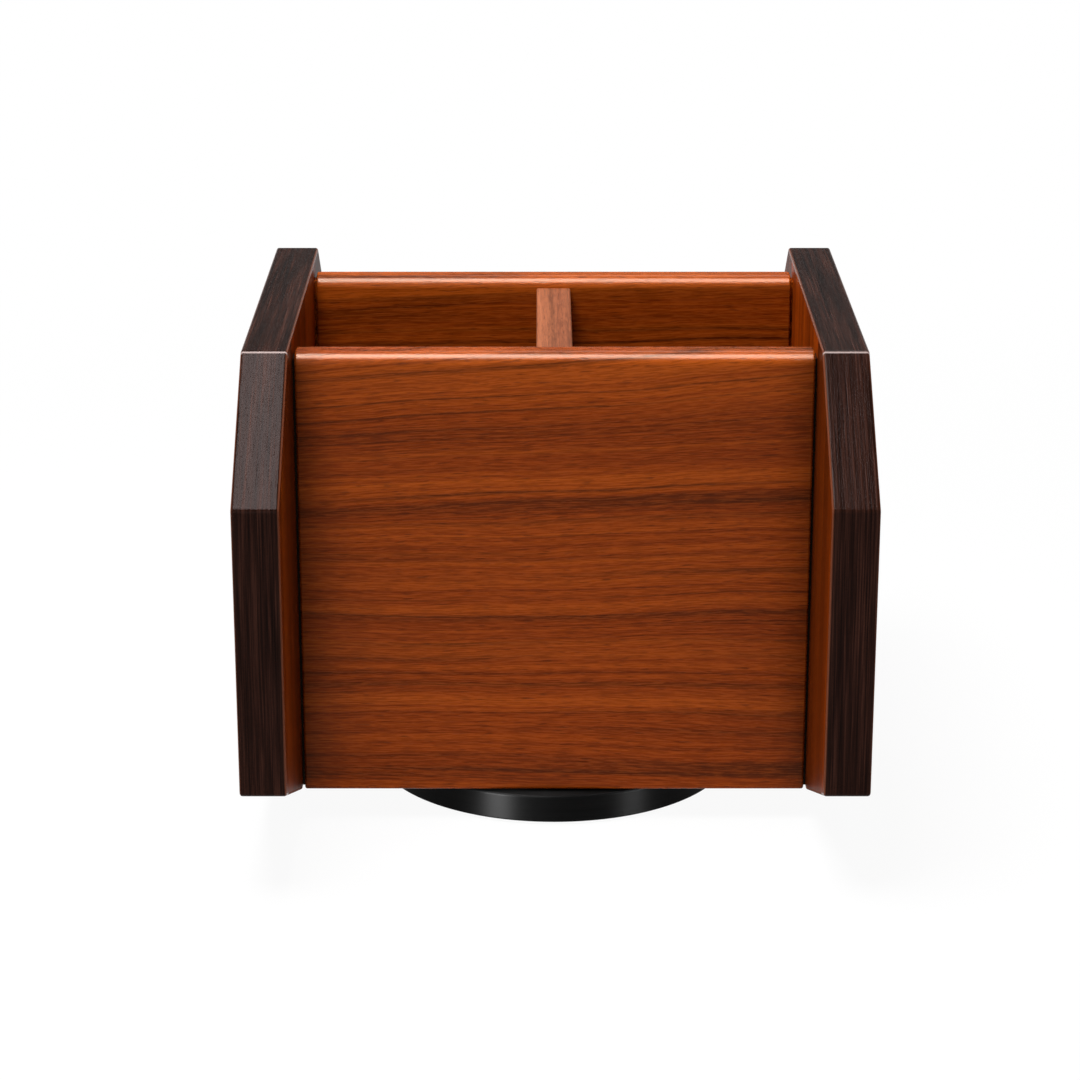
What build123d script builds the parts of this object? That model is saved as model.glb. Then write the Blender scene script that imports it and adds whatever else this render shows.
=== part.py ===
"""Desk organizer caddy: an open box with two compartments between octagonal side boards, on a turntable.

Millimetres, +Z up, the front faces -Y. The origin is on the desk, under the turntable's axis.
"""

import math
import os

from build123d import *

# Box and side boards
overall_width = 200.0
side_depth = 240.0
side_height = 157.0
side_thickness = 15.0
top_slope_run = 48.0
top_slope_rise = 38.0
bottom_slope_run = 62.0
bottom_slope_rise = 24.0
side_corner_radius = 2.0
side_arris_radius = 0.95
edge_band_thickness = 1.0
veneer_thickness = 0.8

panel_thickness = 12.0
panel_setback = 62.0
panel_top_drop = 4.7
panel_top_radius = 4.0
panel_foot_radius = 1.2
panel_arris_radius = 0.8
panel_end_gap = 0.8
panel_stub_inset = 2.4

divider_thickness = 12.0
divider_top_drop = 4.0
divider_housing = 4.0
divider_arris_radius = 0.8

floor_thickness = 12.0

# Wooden dowels, glued into blind holes that are a little deeper than the dowel
dowel_diameter = 6.0
dowel_end_chamfer = 0.6
dowel_hole_relief = 1.0
dowel_depth_in_side = 9.0
dowel_depth_in_panel_end = 15.0
dowel_depth_in_panel_face = 6.0
dowel_depth_in_floor_edge = 14.0
dowel_depth_in_floor_face = 7.0
dowel_depth_in_divider = 16.0
panel_dowel_inset = 32.0
floor_side_dowel_inset = 16.0
floor_panel_dowel_inset = 40.0
divider_dowel_inset = 20.0

# Turntable
base_diameter = 125.0
base_height = 9.6
base_floor = 3.4
base_rim_wall = 8.0
base_edge_radius = 0.8
base_gap = 0.6
swivel_side_clearance = 0.5

foot_count = 4
foot_diameter = 12.0
foot_thickness = 1.5
foot_standout = 0.8
foot_edge_margin = 4.0
foot_edge_radius = 0.3
foot_first_angle = 45.0

ball_count = 24
ball_diameter = 4.0
ball_edge_margin = 10.0
race_clearance = 0.15
plate_gap = 1.6
cage_thickness = 0.8
cage_width = 8.0

pivot_diameter = 6.0
pivot_clearance = 0.05
pivot_head_diameter = 12.0
pivot_head_height = 1.6
pivot_head_recess = 0.2
pivot_end_standout = 1.5
pivot_end_chamfer = 0.6
washer_diameter = 12.0
washer_thickness = 1.0
washer_play = 0.15
nut_across_flats = 10.0
nut_height = 4.0
nut_pocket_clearance = 2.0
nut_pocket_head_room = 1.0

screw_count = 4
screw_diameter = 3.5
screw_clearance = 0.15
screw_head_diameter = 7.0
screw_head_height = 2.0
screw_bite = 7.0
screw_tip_length = 2.0
screw_tip_diameter = 1.0
screw_drive_diameter = 2.6
screw_drive_depth = 1.0
screw_ball_margin = 12.0
screw_access_clearance = 1.0
screw_first_angle = 45.0

# Heights worked out from the desk up
base_bottom_z = foot_standout
base_floor_z = base_bottom_z + base_floor
base_top_z = base_bottom_z + base_height
swivel_bottom_z = base_floor_z + plate_gap
ball_z = base_floor_z + plate_gap / 2
board_bottom_z = base_top_z + base_gap
floor_top_z = board_bottom_z + floor_thickness
floor_mid_z = board_bottom_z + floor_thickness / 2
side_top_z = board_bottom_z + side_height
panel_top_z = side_top_z - panel_top_drop
divider_top_z = panel_top_z - divider_top_drop

# Plan sizes worked out from the driving sizes
inner_half_width = overall_width / 2 - side_thickness
panel_face_y = side_depth / 2 - panel_setback
inner_half_depth = panel_face_y - panel_thickness
panel_half_width = inner_half_width - panel_end_gap
panel_mid_y = panel_face_y - panel_thickness / 2
base_radius = base_diameter / 2
swivel_radius = base_radius - base_rim_wall - swivel_side_clearance
ball_circle_radius = swivel_radius - ball_edge_margin
screw_circle_radius = ball_circle_radius - screw_ball_margin
foot_circle_radius = base_radius - foot_edge_margin - foot_diameter / 2
pivot_hole_radius = pivot_diameter / 2 + pivot_clearance
nut_pocket_radius = max(nut_across_flats / math.sqrt(3), washer_diameter / 2) + nut_pocket_clearance
pivot_top_z = board_bottom_z + washer_play + washer_thickness + nut_height + pivot_end_standout


def save(node, shape):
    export_step(shape, f"parts/{node}.step")


def rod(radius, start, end, taper=0.0):
    """A round bar from start to end, with chamfered ends where taper is given."""
    start, end = Vector(*start), Vector(*end)
    frame = Plane(origin=start, z_dir=end - start)
    bar = extrude(frame * Circle(radius), (end - start).length)
    return chamfer(bar.edges().filter_by(GeomType.CIRCLE), taper) if taper else bar


def upright(radius, low_z, high_z, x=0.0, y=0.0):
    """A vertical round bar, also used as a cutter."""
    return rod(radius, (x, y, low_z), (x, y, high_z))


def on_circle(radius, count, first_angle=0.0):
    """Points spaced evenly on a circle about the turntable's axis."""
    angles = [math.radians(first_angle + 360 * index / count) for index in range(count)]
    return [(radius * math.cos(angle), radius * math.sin(angle)) for angle in angles]


# Side boards

def side_corners():
    """The octagon's corners as (y, z), from the front edge's foot upwards and round."""
    half, run = side_depth / 2, top_slope_run
    low, high = board_bottom_z + bottom_slope_rise, side_top_z - top_slope_rise
    front = [
        (-half + bottom_slope_run, board_bottom_z),
        (-half, low),
        (-half, high),
        (-half + run, side_top_z),
    ]
    return front + [(-y, z) for y, z in reversed(front)]


def inset(corners, distance):
    """The same outline with every edge moved inwards by distance."""
    moved = []
    for index, corner in enumerate(corners):
        here = Vector(*corner)
        before = (here - Vector(*corners[index - 1])).normalized()
        after = (Vector(*corners[(index + 1) % len(corners)]) - here).normalized()
        normal_before, normal_after = Vector(before.Y, -before.X), Vector(after.Y, -after.X)
        mitre = (normal_before + normal_after) * (distance / (1 + normal_before.dot(normal_after)))
        moved.append((here.X + mitre.X, here.Y + mitre.Y))
    return moved


def profile_slab(corners, low_x, high_x):
    """A slab with the given (y, z) outline between two planes across X."""
    outline = make_face(Polyline(*corners, close=True))
    slab = extrude(Plane.YZ * outline, high_x - low_x)
    return Pos(low_x, 0, 0) * slab


def edge_bands(low_x, high_x):
    """Eight strips, mitred at the corners, that cover the board's edges."""
    outer = side_corners()
    inner = inset(outer, edge_band_thickness)
    blank = profile_slab(outer, low_x, high_x)
    blank = fillet(blank.edges().filter_by(Axis.X), side_corner_radius)
    faces = blank.faces().filter_by(Axis.X)
    blank = fillet([edge for face in faces for edge in face.edges()], side_arris_radius)
    ring = blank - profile_slab(inner, low_x, high_x)
    strips = []
    for index in range(len(outer)):
        following = (index + 1) % len(outer)
        mitred = [outer[index], outer[following], inner[following], inner[index]]
        strips += (ring & profile_slab(mitred, low_x, high_x)).solids()
    return Compound(strips)


def side_layers(sign):
    """Core, inner veneer and outer veneer as X limits, for the board on the side of sign."""
    inner, outer = inner_half_width, overall_width / 2
    limits = {
        "inner_veneer": (inner, inner + veneer_thickness),
        "core": (inner + veneer_thickness, outer - veneer_thickness),
        "outer_veneer": (outer - veneer_thickness, outer),
        "edge_bands": (inner, outer),
    }
    return {layer: sorted((sign * low, sign * high)) for layer, (low, high) in limits.items()}


def panel_dowel_line(sign_x, sign_y, z):
    """End points of a dowel between a side board and the end of a panel."""
    y = sign_y * panel_mid_y
    outer = (sign_x * (inner_half_width + dowel_depth_in_side), y, z)
    return outer, (sign_x * (inner_half_width - dowel_depth_in_panel_end), y, z)


def panel_dowel_lines(sign_y):
    heights = (board_bottom_z + panel_dowel_inset, panel_top_z - panel_dowel_inset)
    return [panel_dowel_line(sign_x, sign_y, z) for sign_x in (-1, 1) for z in heights]


def floor_dowel_lines():
    """Dowels from the floor's edges into the side boards and into the two panels."""
    lines = []
    for sign_x in (-1, 1):
        for sign_y in (-1, 1):
            y = sign_y * (inner_half_depth - floor_side_dowel_inset)
            outer = (sign_x * (inner_half_width + dowel_depth_in_side), y, floor_mid_z)
            lines.append((outer, (sign_x * (inner_half_width - dowel_depth_in_floor_edge), y, floor_mid_z)))
            x = sign_x * (inner_half_width - floor_panel_dowel_inset)
            outer = (x, sign_y * (inner_half_depth + dowel_depth_in_panel_face), floor_mid_z)
            lines.append((outer, (x, sign_y * (inner_half_depth - dowel_depth_in_floor_edge), floor_mid_z)))
    return lines


def divider_dowel_lines():
    places = [sign_y * (inner_half_depth - divider_dowel_inset) for sign_y in (-1, 1)]
    low, high = floor_top_z - dowel_depth_in_floor_face, floor_top_z + dowel_depth_in_divider
    return [((0, y, low), (0, y, high)) for y in places]


def dowels(lines):
    return Compound([rod(dowel_diameter / 2, *line, dowel_end_chamfer) for line in lines])


def drill(shape, lines):
    """Cuts a blind hole for each dowel, longer than the dowel by the glue relief."""
    for start, end in lines:
        start, end = Vector(*start), Vector(*end)
        relief = (end - start).normalized() * dowel_hole_relief
        shape = shape - rod(dowel_diameter / 2, tuple(start - relief), tuple(end + relief))
    return shape


def side_board(sign):
    name = "left" if sign < 0 else "right"
    layers = side_layers(sign)
    lines = panel_dowel_lines(-1) + panel_dowel_lines(1) + floor_dowel_lines()
    board_outline = inset(side_corners(), edge_band_thickness)
    for layer in ("core", "inner_veneer"):
        save(f"{name}_side_{layer}", drill(profile_slab(board_outline, *layers[layer]), lines))
    save(f"{name}_side_outer_veneer", profile_slab(board_outline, *layers["outer_veneer"]))
    save(f"{name}_side_edge_bands", edge_bands(*layers["edge_bands"]))


# Panels, divider and floor of the box

def block(low, high):
    """A box between two corners."""
    size = [top - bottom for bottom, top in zip(low, high)]
    middle = [(top + bottom) / 2 for bottom, top in zip(low, high)]
    return Pos(*middle) * Box(*size)


def divider():
    reach = inner_half_depth + divider_housing
    half = divider_thickness / 2
    board = block((-half, -reach, floor_top_z), (half, reach, divider_top_z))
    top_edges = board.edges().filter_by(Axis.Y).group_by(Axis.Z)[-1]
    return fillet(top_edges, divider_arris_radius)


def panel(sign_y):
    """A panel with rounded edges, whose stub ends meet the side boards behind a narrow shadow gap."""
    low_y, high_y = sorted((sign_y * inner_half_depth, sign_y * panel_face_y))
    board = block((-panel_half_width, low_y, board_bottom_z), (panel_half_width, high_y, panel_top_z))
    board = fillet(board.edges().filter_by(Axis.X).group_by(Axis.Z)[-1], panel_top_radius)
    board = fillet(board.edges().filter_by(Axis.X).group_by(Axis.Z)[0], panel_foot_radius)
    ends = board.faces().filter_by(Axis.X)
    board = fillet([edge for face in ends for edge in face.edges()], panel_arris_radius)
    stub_low = (-inner_half_width, low_y + panel_stub_inset, board_bottom_z + panel_arris_radius)
    stub_high = (inner_half_width, high_y - panel_stub_inset, panel_top_z - panel_stub_inset)
    board = board + block(stub_low, stub_high) - divider()
    return drill(board, panel_dowel_lines(sign_y) + floor_dowel_lines())


def floor_board():
    low = (-inner_half_width, -inner_half_depth, board_bottom_z)
    board = block(low, (inner_half_width, inner_half_depth, floor_top_z))
    pocket_top_z = pivot_top_z + nut_pocket_head_room
    board = board - upright(nut_pocket_radius, board_bottom_z, pocket_top_z)
    for x, y in screw_places():
        board = board - upright(screw_diameter / 2, board_bottom_z, board_bottom_z + screw_bite, x, y)
    return drill(board, floor_dowel_lines() + divider_dowel_lines())


# Turntable

def screw_places():
    return on_circle(screw_circle_radius, screw_count, screw_first_angle)


def race():
    """The round groove that both plates share, round the ring of balls."""
    return Pos(0, 0, ball_z) * Torus(ball_circle_radius, ball_diameter / 2 + race_clearance)


def swivel_plate():
    plate = upright(swivel_radius, swivel_bottom_z, board_bottom_z)
    plate = plate - upright(pivot_hole_radius, swivel_bottom_z, board_bottom_z) - race()
    for x, y in screw_places():
        plate = plate - screw_body(x, y, screw_clearance)
    return plate


def screw_body(x, y, clearance=0.0):
    """A countersunk screw that points up, or the hole for it where clearance is given."""
    shank, head = screw_diameter / 2 + clearance, screw_head_diameter / 2 + clearance
    cone = Pos(x, y, swivel_bottom_z + screw_head_height / 2) * Cone(head, shank, screw_head_height)
    return cone + upright(shank, swivel_bottom_z, board_bottom_z, x, y)


def swivel_screw(x, y):
    point_z = board_bottom_z + screw_bite
    shank = upright(screw_diameter / 2, board_bottom_z, point_z - screw_tip_length, x, y)
    tip_middle = Pos(x, y, point_z - screw_tip_length / 2)
    tip = tip_middle * Cone(screw_diameter / 2, screw_tip_diameter / 2, screw_tip_length)
    drive_low = (x - screw_drive_diameter / 2, y - screw_drive_diameter / 2, swivel_bottom_z)
    drive_high = (x + screw_drive_diameter / 2, y + screw_drive_diameter / 2)
    drive = block(drive_low, (*drive_high, swivel_bottom_z + screw_drive_depth))
    return (screw_body(x, y) + shank + tip - drive).solid()


def base_disc():
    disc = upright(base_radius, base_bottom_z, base_top_z)
    disc = fillet(disc.edges(), base_edge_radius)
    recess = upright(swivel_radius + swivel_side_clearance, base_floor_z, base_top_z)
    disc = disc - recess - race()
    disc = disc - upright(pivot_hole_radius, base_bottom_z, base_floor_z)
    head_room = pivot_head_diameter / 2 + pivot_clearance
    disc = disc - upright(head_room, base_bottom_z, base_bottom_z + pivot_head_recess + pivot_head_height)
    access_radius = screw_head_diameter / 2 + screw_access_clearance
    disc = disc - upright(access_radius, base_bottom_z, base_floor_z, *screw_places()[0])
    for x, y in foot_places():
        disc = disc - upright(foot_diameter / 2, base_bottom_z, foot_thickness, x, y)
    return disc


def foot_places():
    return on_circle(foot_circle_radius, foot_count, foot_first_angle)


def rubber_feet():
    feet = [upright(foot_diameter / 2, 0, foot_thickness, x, y) for x, y in foot_places()]
    return Compound([fillet(foot.edges().group_by(Axis.Z)[0], foot_edge_radius) for foot in feet])


def ball_places():
    return on_circle(ball_circle_radius, ball_count)


def bearing_balls():
    return Compound([Pos(x, y, ball_z) * Sphere(ball_diameter / 2) for x, y in ball_places()])


def ball_cage():
    low_z, high_z = ball_z - cage_thickness / 2, ball_z + cage_thickness / 2
    ring = upright(ball_circle_radius + cage_width / 2, low_z, high_z)
    ring = ring - upright(ball_circle_radius - cage_width / 2, low_z, high_z)
    for x, y in ball_places():
        ring = ring - upright(ball_diameter / 2 + race_clearance, low_z, high_z, x, y)
    return ring


def pivot_bolt():
    head_z = base_bottom_z + pivot_head_recess
    shank = upright(pivot_diameter / 2, head_z, pivot_top_z)
    shank = chamfer(shank.edges().group_by(Axis.Z)[-1], pivot_end_chamfer)
    return shank + upright(pivot_head_diameter / 2, head_z, head_z + pivot_head_height)


def pivot_washer():
    low_z = board_bottom_z + washer_play
    ring = upright(washer_diameter / 2, low_z, low_z + washer_thickness)
    return ring - upright(pivot_hole_radius, low_z, low_z + washer_thickness)


def lock_nut():
    low_z = board_bottom_z + washer_play + washer_thickness
    hexagon = RegularPolygon(nut_across_flats / 2, 6, major_radius=False)
    nut = extrude(Plane.XY.offset(low_z) * hexagon, nut_height)
    return nut - upright(pivot_hole_radius, low_z, low_z + nut_height)


os.makedirs("parts", exist_ok=True)

for side in (-1, 1):
    side_board(side)
save("front_panel", panel(-1))
save("rear_panel", panel(1))
save("centre_divider", drill(divider(), divider_dowel_lines()))
save("floor_board", floor_board())
save("front_panel_dowels", dowels(panel_dowel_lines(-1)))
save("rear_panel_dowels", dowels(panel_dowel_lines(1)))
save("floor_dowels", dowels(floor_dowel_lines()))
save("divider_dowels", dowels(divider_dowel_lines()))
save("swivel_plate", swivel_plate())
save("swivel_screws", Compound([swivel_screw(x, y) for x, y in screw_places()]))
save("base_disc", base_disc())
save("rubber_feet", rubber_feet())
save("ball_cage", ball_cage())
save("bearing_balls", bearing_balls())
save("pivot_bolt", pivot_bolt())
save("pivot_washer", pivot_washer())
save("lock_nut", lock_nut())
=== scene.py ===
"""Looks of the desk organizer caddy: veneered boards on a black turntable, in a white studio."""

import math

import bpy
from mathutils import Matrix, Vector


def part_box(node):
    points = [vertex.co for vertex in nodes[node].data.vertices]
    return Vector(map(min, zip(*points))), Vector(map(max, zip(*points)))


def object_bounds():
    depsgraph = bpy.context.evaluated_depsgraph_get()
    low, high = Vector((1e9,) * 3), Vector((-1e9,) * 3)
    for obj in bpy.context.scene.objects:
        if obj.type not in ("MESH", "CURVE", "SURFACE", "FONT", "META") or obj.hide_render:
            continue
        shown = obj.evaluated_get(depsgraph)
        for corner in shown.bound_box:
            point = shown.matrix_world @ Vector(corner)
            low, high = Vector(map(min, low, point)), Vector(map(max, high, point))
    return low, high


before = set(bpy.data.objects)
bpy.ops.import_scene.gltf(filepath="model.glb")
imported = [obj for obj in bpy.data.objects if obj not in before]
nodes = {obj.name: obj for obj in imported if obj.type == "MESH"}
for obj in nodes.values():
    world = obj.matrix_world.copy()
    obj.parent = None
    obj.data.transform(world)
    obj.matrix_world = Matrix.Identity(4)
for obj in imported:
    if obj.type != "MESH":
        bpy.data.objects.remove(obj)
cad_low, cad_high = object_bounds()

# Camera: place in metres, tilt in degrees, lens and sensor in millimetres
camera_place = (-0.0048, -1.0300, 0.4244)
camera_tilt = 71.54
camera_lens = 103.85
camera_sensor = 36.0

# Floor and backdrop: lengths in metres, and wall_top as sines of angles above the horizon
floor_half_size = 8.0
floor_colour = 0.66
shadow_reach = (0.25, 0.75)
shadow_glow_share = 0.94
wall_top = (0.0, 0.10)
ambient_strength = 0.14
background_strength = 1.0

# Wood grain: features per metre along, across and into the board
wander_grain = (7, 24, 9)
band_grain = (0.8, 70, 30)
figure_grain = (2, 620, 90)
streak_grain = (0.8, 240, 100)
growth_grain = (0.9, 120, 40)
fade_grain = (9, 70, 40)
fibre_grain = (130, 2400, 2400)
pore_grain = (150, 1500, 1500)

# Edge strip grain: features per metre across the board, along it and upwards
strip_line_grain = (1900, 26, 26)
strip_fibre_grain = (3000, 90, 90)
strip_cloud_grain = (60, 22, 22)
strip_broad_grain = (420, 16, 16)
strip_grit = 1900

# Marks, painted light and painted shade on the wood, in metres. A pair says where one starts and where it is
# full
wander_width = 0.004
painted_light_below_top = (0.035, 0.003)
end_shade_width = 0.015
face_shade_fade = 0.004
face_shade_width = 0.055
gap_shadow_before_end = (0.0008, 0.0005)
wood_relief = 0.00002

# Wear and painted highlights of the edge strips, in metres. A pair says where it starts and where it is full
outer_arris_wear_and_highlight = (0.0005, 0.0001)
inner_arris_wear_and_highlight = (0.0007, 0.0002)
fold_y = 0.0725
fold_highlight_width = (0.0004, 0.0001)
fold_highlight_below_top = (0.004, 0.002)
underside_z = 0.034
underside_fade = 0.002
strip_relief = 0.00005

panel_low, panel_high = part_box("front_panel")
panel_end, panel_top, panel_face = panel_high[0], panel_high[2], -panel_low[1]
strip_low, strip_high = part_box("right_side_edge_bands")
board_inner, board_outer, board_top = strip_low[0], strip_high[0], strip_high[2]


def seen(red, green, blue):
    """A colour given as it looks on screen, 0 to 255, as linear light."""
    def linear(value):
        share = value / 255
        return share / 12.92 if share <= 0.04045 else ((share + 0.055) / 1.055) ** 2.4
    return (linear(red), linear(green), linear(blue), 1.0)


class Graph:
    """Short calls for the nodes of one node tree."""

    def __init__(self, tree):
        self.tree = tree

    def put(self, socket, value):
        """Links the socket to another one, or sets it to a plain value."""
        if isinstance(value, bpy.types.NodeSocket):
            self.tree.links.new(value, socket)
        else:
            socket.default_value = value

    def add(self, kind, **inputs):
        made = self.tree.nodes.new(kind)
        for name, value in inputs.items():
            self.put(made.inputs[name], value)
        return made

    def calculate(self, operation, first, second=0.0):
        made = self.add("ShaderNodeMath")
        made.operation = operation
        self.put(made.inputs[0], first)
        self.put(made.inputs[1], second)
        return made.outputs[0]

    def between(self, value, low, high, new_low=0.0, new_high=1.0, smooth=False):
        """Value from low to high, stretched to the new limits and held there."""
        made = self.add("ShaderNodeMapRange", Value=value)
        if smooth:
            made.interpolation_type = "SMOOTHSTEP"
        limits = (low, high, new_low, new_high)
        for name, limit in zip(("From Min", "From Max", "To Min", "To Max"), limits):
            made.inputs[name].default_value = limit
        return made.outputs[0]

    def camera_rays(self):
        return self.add("ShaderNodeLightPath").outputs["Is Camera Ray"]

    def background_rays(self):
        """1 for camera, glossy and transmission rays, which see the background, and 0 for the others."""
        path = self.add("ShaderNodeLightPath").outputs
        direct_or_glossy = self.calculate("MAXIMUM", path["Is Camera Ray"], path["Is Glossy Ray"])
        return self.calculate("MAXIMUM", direct_or_glossy, path["Is Transmission Ray"])


class SurfaceGraph(Graph):
    """A material with short calls for the nodes that the finishes here are made of."""

    def __init__(self, name, **shader_constants):
        self.material = bpy.data.materials.new(name)
        self.material.use_nodes = True
        super().__init__(self.material.node_tree)
        self.shader = self.tree.nodes["Principled BSDF"]
        for socket, value in shader_constants.items():
            self.shader.inputs[socket.replace("_", " ")].default_value = value
        place = self.add("ShaderNodeTexCoord").outputs["Object"]
        parts = self.add("ShaderNodeSeparateXYZ", Vector=place).outputs
        self.axes = {axis: parts[axis] for axis in "XYZ"}

    def noise(self, places, grain, detail=2.0, roughness=0.5):
        """Noise at three coordinates, with the features per metre that grain gives for each."""
        scaled = [self.calculate("MULTIPLY", place, frequency) for place, frequency in zip(places, grain)]
        vector = self.add("ShaderNodeCombineXYZ", X=scaled[0], Y=scaled[1], Z=scaled[2]).outputs[0]
        made = self.add("ShaderNodeTexNoise", Vector=vector, Scale=1.0, Detail=detail, Roughness=roughness)
        return made.outputs["Fac"]

    def even_noise(self, frequency, detail=2.0, roughness=0.5):
        return self.noise(self.axes.values(), (frequency, frequency, frequency), detail, roughness)

    def blend(self, first, first_share, second):
        """The first value in its share, and the second in the rest."""
        kept = self.calculate("MULTIPLY", first, first_share)
        return self.calculate("ADD", kept, self.calculate("MULTIPLY", second, 1.0 - first_share))

    def ramp(self, value, stops):
        """Colour from (place, colour) stops."""
        made = self.add("ShaderNodeValToRGB", Fac=value)
        elements = made.color_ramp.elements
        while len(elements) < len(stops):
            elements.new(0.5)
        for element, (place, colour) in zip(elements, stops):
            element.position = place
            element.color = colour
        return made.outputs["Color"]

    def mix(self, factor, first, second):
        """The first colour, and the second one over it by the factor."""
        made = self.add("ShaderNodeMix", Factor=factor)
        made.data_type = "RGBA"
        colours = [socket for socket in made.inputs if socket.bl_idname == "NodeSocketColor"]
        self.put(colours[0], first)
        self.put(colours[1], second)
        return next(socket for socket in made.outputs if socket.bl_idname == "NodeSocketColor")

    def finish(self, colour, roughness, height, depth):
        """The material with this colour and roughness, and a bump of that depth in metres."""
        bump = self.add("ShaderNodeBump", Height=height, Distance=depth, Strength=1.0)
        self.put(self.shader.inputs["Base Color"], colour)
        self.put(self.shader.inputs["Roughness"], roughness)
        self.put(self.shader.inputs["Normal"], bump.outputs["Normal"])
        return self.material


# Wood

lacquer_tint = (1.0, 0.83, 0.66, 1.0)
strip_tint = (1.0, 0.84, 0.83, 1.0)
# Painted shade colour
painted_shade_colour = seen(24, 8, 2)
# Painted shadow colour for the gaps at the panel's ends
gap_shadow_colour = seen(10, 4, 1)
streaked_tones = (seen(52, 18, 2), seen(117, 44, 4), seen(150, 67, 12))
straight_tones = (seen(88, 30, 2), seen(146, 56, 6), seen(176, 78, 14))
pale_tones = (seen(64, 31, 16), seen(117, 64, 40), seen(150, 88, 57))
beech_tones = (seen(176, 132, 88), seen(206, 166, 120), seen(222, 188, 146))
strip_tones = (seen(9, 3, 2), seen(33, 16, 11), seen(60, 34, 26))
core_tones = (seen(112, 78, 48), seen(158, 120, 80), seen(194, 160, 116))


def add_painted_shade(graph, colour, along, across, shaded_end, shaded_past, shadow_gap_end):
    """The colour with the painted shade, and the painted shadow in the gap, that veneer() tells of."""
    # Painted shade: darker towards the panel's ends, where the side boards shade it
    if shaded_end is not None:
        reach = graph.calculate("ABSOLUTE", along)
        shade_share = graph.between(reach, shaded_end - end_shade_width, shaded_end, 0.0, 0.68)
        colour = graph.mix(graph.calculate("POWER", shade_share, 1.6), colour, painted_shade_colour)
    # Painted shade: the inner faces darker in front of the panel face, most next to the panel
    if shaded_past is not None:
        reach = graph.calculate("ABSOLUTE", across)
        outside = graph.between(reach, shaded_past - face_shade_fade, shaded_past)
        shade_share = graph.between(reach, shaded_past, shaded_past + face_shade_width, 0.76, 0.5)
        colour = graph.mix(graph.calculate("MULTIPLY", outside, shade_share), colour, painted_shade_colour)
    # Painted shadow: the narrow gap at the panel's ends painted nearly black
    if shadow_gap_end is not None:
        reach = graph.calculate("ABSOLUTE", along)
        gap_shadow = graph.between(reach, *[shadow_gap_end - before for before in gap_shadow_before_end])
        colour = graph.mix(gap_shadow, colour, gap_shadow_colour)
    return colour


def veneer(name, grain, tones, fan=0.0, fan_centre=0.0, shine=0.09, polish=0.22,
           painted_light_top=None, shaded_end=None, shaded_past=None, shadow_gap_end=None):
    """Lacquered wood with streaks along the first axis of grain, across the second and into the third.

    Tones are the dark, middle and light colours. Fan spreads the streaks apart along the grain, away from
    the straight one at fan_centre. It is painted paler towards painted_light_top, as painted top light.
    Painted shade darkens it towards shaded_end, a distance along the grain, and past shaded_past, a distance
    across it. A painted shadow makes the narrow gap before shadow_gap_end, a distance along the grain,
    nearly black.
    """
    graph = SurfaceGraph(name, Specular_IOR_Level=shine, Specular_Tint=lacquer_tint)
    along, across, depth = (graph.axes[axis] for axis in grain)
    dark, middle, light = tones
    wander = graph.noise((along, across, depth), wander_grain)
    wander = graph.between(wander, 0.0, 1.0, -wander_width, wander_width)
    slope = graph.calculate("MULTIPLY", graph.calculate("SUBTRACT", across, fan_centre), fan)
    straightened = graph.calculate("SUBTRACT", across, graph.calculate("MULTIPLY", along, slope))
    swept = (along, graph.calculate("ADD", straightened, wander), depth)

    bands = graph.noise(swept, band_grain, 3.0, 0.6)
    figure = graph.noise(swept, figure_grain, 2.0, 0.6)
    tone = graph.blend(bands, 0.65, figure)
    # Painted light: paler towards the panel's top edge, where light from above falls
    if painted_light_top is not None:
        top_light_share = graph.between(across, *[painted_light_top - below for below in painted_light_below_top], 0.0, 0.13)
        tone = graph.calculate("ADD", tone, top_light_share)
    colour = graph.ramp(graph.between(tone, 0.34, 0.66), [(0.0, dark), (0.45, middle), (1.0, light)])

    streaks = graph.noise(swept, streak_grain)
    colour = graph.mix(graph.between(streaks, 0.57, 0.68, 0.0, 0.5), colour, dark)
    growth = graph.noise(swept, growth_grain, 1.0)
    past_line = graph.calculate("ABSOLUTE", graph.calculate("SUBTRACT", growth, 0.5))
    fade = graph.between(graph.noise(swept, fade_grain, 1.0), 0.36, 0.6, 0.1, 0.75)
    lines = graph.calculate("MULTIPLY", graph.between(past_line, 0.035, 0.0), fade)
    colour = graph.mix(lines, colour, dark)
    fibre = graph.noise(swept, fibre_grain, 2.0, 0.7)
    colour = graph.mix(graph.between(fibre, 0.36, 0.52, 0.34, 0.0), colour, dark)
    colour = graph.mix(graph.between(fibre, 0.50, 0.64, 0.0, 0.3), colour, light)
    pores = graph.between(graph.noise(swept, pore_grain, 1.0), 0.62, 0.72)
    colour = graph.mix(graph.calculate("MULTIPLY", pores, 0.5), colour, dark)
    colour = add_painted_shade(graph, colour, along, across, shaded_end, shaded_past, shadow_gap_end)

    roughness = graph.between(fibre, 0.3, 0.7, polish, polish + 0.10)
    relief = graph.calculate("SUBTRACT", graph.calculate("MULTIPLY", fibre, 0.4), pores)
    return graph.finish(colour, roughness, relief, wood_relief)


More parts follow.
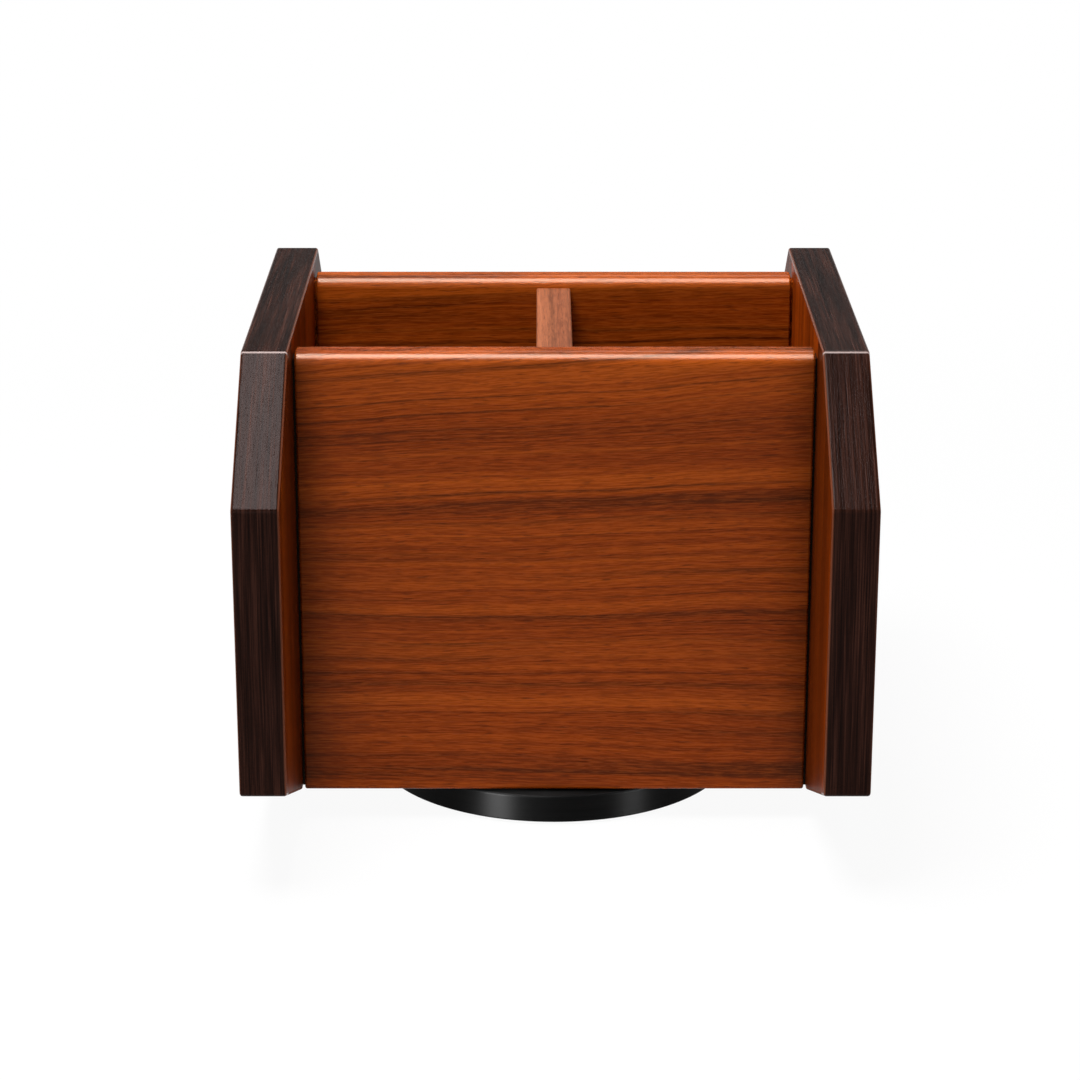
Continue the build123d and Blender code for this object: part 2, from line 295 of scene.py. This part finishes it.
def dark_edge(name):
    """Dark stained edge strip with fine grain lines along it.

    Its arrises are paler, partly as real wear and partly as a painted highlight. The top folds have a
    painted highlight line, and it is matt on the underside.
    """
    graph = SurfaceGraph(name, Specular_IOR_Level=0.036, Specular_Tint=strip_tint)
    across, along, rise = places = [graph.axes[axis] for axis in "XYZ"]
    dark, middle, light = strip_tones
    lines = graph.noise(places, strip_line_grain, 2.0, 0.65)
    fibre = graph.noise(places, strip_fibre_grain)
    cloud = graph.noise(places, strip_cloud_grain)
    broad = graph.noise(places, strip_broad_grain)
    grit = graph.even_noise(strip_grit, 2.0, 0.6)
    tone = graph.between(graph.blend(lines, 0.6, broad), 0.36, 0.64)
    colour = graph.ramp(tone, [(0.0, dark), (0.5, middle), (1.0, light)])
    colour = graph.mix(graph.between(fibre, 0.3, 0.7, 0.35, 0.0), colour, seen(14, 6, 3))
    colour = graph.mix(graph.between(cloud, 0.35, 0.65, 0.0, 0.25), colour, seen(26, 11, 6))

    # Arrises paler, partly as real wear and partly as a painted highlight
    reach = graph.calculate("ABSOLUTE", across)
    outer_wear_and_highlight = graph.between(reach, *[board_outer - inwards for inwards in outer_arris_wear_and_highlight])
    inner_wear_and_highlight = graph.between(reach, *[board_inner + outwards for outwards in inner_arris_wear_and_highlight])
    arris_wear_and_highlight = graph.calculate("MULTIPLY", graph.calculate("MAXIMUM", outer_wear_and_highlight, inner_wear_and_highlight), 0.8)
    colour = graph.mix(arris_wear_and_highlight, colour, seen(112, 62, 42))
    # Painted highlight: a pale line along the top folds
    from_fold = graph.calculate("SUBTRACT", graph.calculate("ABSOLUTE", along), fold_y)
    fold_highlight = graph.between(graph.calculate("ABSOLUTE", from_fold), *fold_highlight_width)
    near_top = graph.between(rise, *[board_top - below for below in fold_highlight_below_top])
    colour = graph.mix(graph.calculate("MULTIPLY", fold_highlight, near_top), colour, seen(146, 130, 126))

    polished = graph.between(lines, 0.3, 0.7, 0.16, 0.28)
    matt = graph.between(rise, underside_z, underside_z - underside_fade, 0.0, 0.7)
    roughness = graph.calculate("MAXIMUM", polished, matt)
    relief = graph.calculate("ADD", lines, fibre)
    relief = graph.calculate("ADD", relief, graph.calculate("MULTIPLY", grit, 1.5))
    return graph.finish(colour, roughness, relief, strip_relief)


def board_core(name):
    """Raw fibreboard: flecks of two sizes in a light brown binder."""
    graph = SurfaceGraph(name, Specular_IOR_Level=0.2)
    dark, middle, light = core_tones
    flecks = graph.even_noise(420, 4.0, 0.7)
    grit = graph.even_noise(1900)
    colour = graph.ramp(graph.between(flecks, 0.32, 0.68), [(0.0, dark), (0.5, middle), (1.0, light)])
    colour = graph.mix(graph.between(grit, 0.55, 0.72, 0.0, 0.4), colour, seen(92, 62, 38))
    return graph.finish(colour, 0.85, flecks, 0.0002)


# Plastic, steel and rubber

def moulded_plastic(name, colour, darker, polish, shine):
    """Moulded plastic: a fine even grain, and slow changes of colour and gloss."""
    graph = SurfaceGraph(name, Specular_IOR_Level=shine)
    grain = graph.even_noise(3800)
    cloud = graph.even_noise(55)
    mixed = graph.mix(graph.between(cloud, 0.35, 0.65), colour, darker)
    roughness = graph.between(cloud, 0.3, 0.7, polish, polish + 0.06)
    return graph.finish(mixed, roughness, grain, 0.00001)


def turned_plastic(name, colour, darker, shine):
    """Plastic turned on a lathe: fine rings round the Z axis, which stretch its highlights upright."""
    graph = SurfaceGraph(name, Specular_IOR_Level=shine, Anisotropic=0.9, Anisotropic_Rotation=0.25)
    tangent = graph.add("ShaderNodeTangent")
    tangent.direction_type = "RADIAL"
    tangent.axis = "Z"
    graph.put(graph.shader.inputs["Tangent"], tangent.outputs[0])
    x, y, z = (graph.axes[axis] for axis in "XYZ")
    squares = graph.calculate("ADD", graph.calculate("POWER", x, 2.0), graph.calculate("POWER", y, 2.0))
    radius = graph.calculate("SQRT", squares)
    rings = graph.noise((radius, z, x), (2600, 2600, 20))
    cloud = graph.even_noise(55)
    mixed = graph.mix(graph.between(rings, 0.35, 0.65), colour, darker)
    return graph.finish(mixed, graph.between(cloud, 0.3, 0.7, 0.38, 0.44), rings, 0.000008)


def plated_steel(name):
    """Bright zinc plate, with fine marks and a little cloudiness."""
    graph = SurfaceGraph(name, Metallic=1.0)
    cloud = graph.even_noise(300, 3.0)
    marks = graph.even_noise(4200)
    colour = graph.ramp(cloud, [(0.3, seen(186, 188, 190)), (0.7, seen(214, 215, 216))])
    return graph.finish(colour, graph.between(cloud, 0.3, 0.7, 0.22, 0.36), marks, 0.000006)


def soft_rubber(name):
    """Matt black rubber with dust in its grain."""
    graph = SurfaceGraph(name, Specular_IOR_Level=0.3)
    grain = graph.even_noise(2600, 3.0, 0.6)
    colour = graph.ramp(grain, [(0.35, seen(20, 20, 21)), (0.75, seen(44, 44, 45))])
    return graph.finish(colour, graph.between(grain, 0.3, 0.7, 0.7, 0.9), grain, 0.00006)


# Finishes of the pieces

front_wood = veneer("front_wood", "XZY", streaked_tones, fan=0.66, fan_centre=0.056,
                    painted_light_top=panel_top, shaded_end=panel_end, shadow_gap_end=panel_end)
rear_wood = veneer("rear_wood", "XZY", streaked_tones, fan=0.6, fan_centre=0.123, painted_light_top=panel_top)
floor_wood = veneer("floor_wood", "XYZ", straight_tones)
side_wood = veneer("side_wood", "ZYX", straight_tones, shine=0.05, polish=0.40)
inner_side_wood = veneer("inner_side_wood", "ZYX", straight_tones, shine=0.02, polish=0.36,
                         shaded_past=panel_face)
divider_wood = veneer("divider_wood", "YXZ", pale_tones, polish=0.42)
level_dowel_wood = veneer("dowel_wood_X", "XYZ", beech_tones, polish=0.55)
upright_dowel_wood = veneer("dowel_wood_Z", "ZXY", beech_tones, polish=0.55)
edge_finish = dark_edge("dark_edge")
core_finish = board_core("board_core")
black_plastic = moulded_plastic("black_plastic", seen(16, 16, 16), seen(11, 11, 11), polish=0.45, shine=0.2)
disc_plastic = turned_plastic("disc_plastic", seen(10, 10, 10), seen(5, 5, 5), shine=0.04)
cage_plastic = moulded_plastic("cage_plastic", seen(206, 204, 196), seen(190, 188, 180),
                               polish=0.4, shine=0.5)
steel_finish = plated_steel("plated_steel")
rubber_finish = soft_rubber("soft_rubber")

finishes = {
    "front_panel": front_wood,
    "rear_panel": rear_wood,
    "centre_divider": divider_wood,
    "floor_board": floor_wood,
    "front_panel_dowels": level_dowel_wood,
    "rear_panel_dowels": level_dowel_wood,
    "floor_dowels": level_dowel_wood,
    "divider_dowels": upright_dowel_wood,
    "swivel_plate": black_plastic,
    "base_disc": disc_plastic,
    "ball_cage": cage_plastic,
    "rubber_feet": rubber_finish,
}
for node in ("swivel_screws", "bearing_balls", "pivot_bolt", "pivot_washer", "lock_nut"):
    finishes[node] = steel_finish
for side in ("left", "right"):
    finishes[side + "_side_core"] = core_finish
    finishes[side + "_side_inner_veneer"] = inner_side_wood
    finishes[side + "_side_outer_veneer"] = side_wood
    finishes[side + "_side_edge_bands"] = edge_finish

for node, finish in finishes.items():
    nodes[node].data.materials.clear()
    nodes[node].data.materials.append(finish)


# Studio

def studio_floor():
    """A pale floor that takes the object's shadow and looks white around it.

    For rays that see the background, white glow takes shadow_glow_share of it near the object, and all of it
    past shadow_reach.
    """
    material = bpy.data.materials.new("studio_floor")
    material.use_nodes = True
    material.node_tree.nodes.clear()
    graph = Graph(material.node_tree)
    matt = graph.add("ShaderNodeBsdfDiffuse", Color=(floor_colour, floor_colour, floor_colour, 1.0))
    glow = graph.add("ShaderNodeEmission", Strength=background_strength)
    distance = graph.add("ShaderNodeVectorMath")
    distance.operation = "LENGTH"
    graph.put(distance.inputs[0], graph.add("ShaderNodeTexCoord").outputs["Object"])
    clear = graph.between(distance.outputs["Value"], *shadow_reach, shadow_glow_share, 1.0, smooth=True)
    glow_share = graph.calculate("MULTIPLY", graph.background_rays(), clear)
    both = graph.add("ShaderNodeMixShader", Fac=glow_share)
    graph.put(both.inputs[1], matt.outputs[0])
    graph.put(both.inputs[2], glow.outputs[0])
    graph.add("ShaderNodeOutputMaterial", Surface=both.outputs[0])

    half = floor_half_size
    corners = [(-half, -half, 0), (half, -half, 0), (half, half, 0), (-half, half, 0)]
    mesh = bpy.data.meshes.new("floor")
    mesh.from_pydata(corners, [], [(0, 1, 2, 3)])
    mesh.materials.append(material)
    floor = bpy.data.objects.new("floor", mesh)
    bpy.context.scene.collection.objects.link(floor)


def studio_world():
    """A white backdrop, which reflections see as a wall that fades into a dim ceiling over wall_top."""
    world = bpy.data.worlds.new("studio")
    bpy.context.scene.world = world
    world.use_nodes = True
    graph = Graph(world.node_tree)
    direction = graph.add("ShaderNodeTexCoord").outputs["Generated"]
    height = graph.add("ShaderNodeSeparateXYZ", Vector=direction).outputs["Z"]
    wall = graph.between(height, *wall_top, 1.0, 0.0, smooth=True)
    seen_wall = graph.calculate("MULTIPLY", graph.background_rays(), wall)
    backdrop = graph.calculate("MAXIMUM", seen_wall, graph.camera_rays())
    background = world.node_tree.nodes["Background"]
    background.inputs["Color"].default_value = (1.0, 1.0, 1.0, 1.0)
    strength = graph.between(backdrop, 0.0, 1.0, ambient_strength, background_strength)
    graph.put(background.inputs["Strength"], strength)


def soft_box(name, place, target, size, power, gloss_on=()):
    """A soft lamp. Where gloss_on names nodes, it lights these alone, and shows only in their gloss."""
    data = bpy.data.lights.new(name, "AREA")
    data.shape = "RECTANGLE"
    data.size, data.size_y = size
    data.energy = power
    lamp = bpy.data.objects.new(name, data)
    bpy.context.scene.collection.objects.link(lamp)
    lamp.location = place
    lamp.rotation_euler = (Vector(target) - Vector(place)).to_track_quat("-Z", "Y").to_euler()
    if gloss_on:
        lamp.visible_diffuse = False
        lit = bpy.data.collections.new(name + "_lights")
        for node in gloss_on:
            lit.objects.link(nodes[node])
        lamp.light_linking.receiver_collection = lit


def studio_camera():
    """The camera at the photograph's viewing angle."""
    data = bpy.data.cameras.new("camera")
    data.sensor_width = camera_sensor
    data.lens = camera_lens
    camera = bpy.data.objects.new("camera", data)
    bpy.context.scene.collection.objects.link(camera)
    camera.location = camera_place
    camera.rotation_euler = (math.radians(camera_tilt), 0, 0)
    bpy.context.scene.camera = camera


object_middle = (cad_low + cad_high) / 2
panels = ("front_panel", "rear_panel")
disc = ("base_disc",)
studio_floor()
studio_world()
soft_box("top_box", (-0.22, -0.20, 1.15), (-0.22, -0.20, 0.0), size=(0.44, 0.66), power=24.5)
soft_box("front_left_box", (-0.36, -1.52, 0.58), object_middle, size=(0.5, 0.9), power=4.9)
soft_box("front_right_box", (0.60, -1.45, 0.58), object_middle, size=(0.8, 0.9), power=1.5)
soft_box("back_box", (0.25, 1.05, 1.25), object_middle, size=(0.8, 0.6), power=6.0)
soft_box("sheen_bar", (0.02, -0.34, 1.10), object_middle, size=(1.1, 0.70), power=132.0, gloss_on=panels)
soft_box("left_strip", (-0.82, -1.22, 0.16), object_middle, size=(0.34, 0.28), power=130.0, gloss_on=disc)
soft_box("right_strip", (1.08, -0.94, 0.16), object_middle, size=(0.30, 0.28), power=40.0, gloss_on=disc)
studio_camera()
bpy.context.scene.view_settings.view_transform = "Standard"
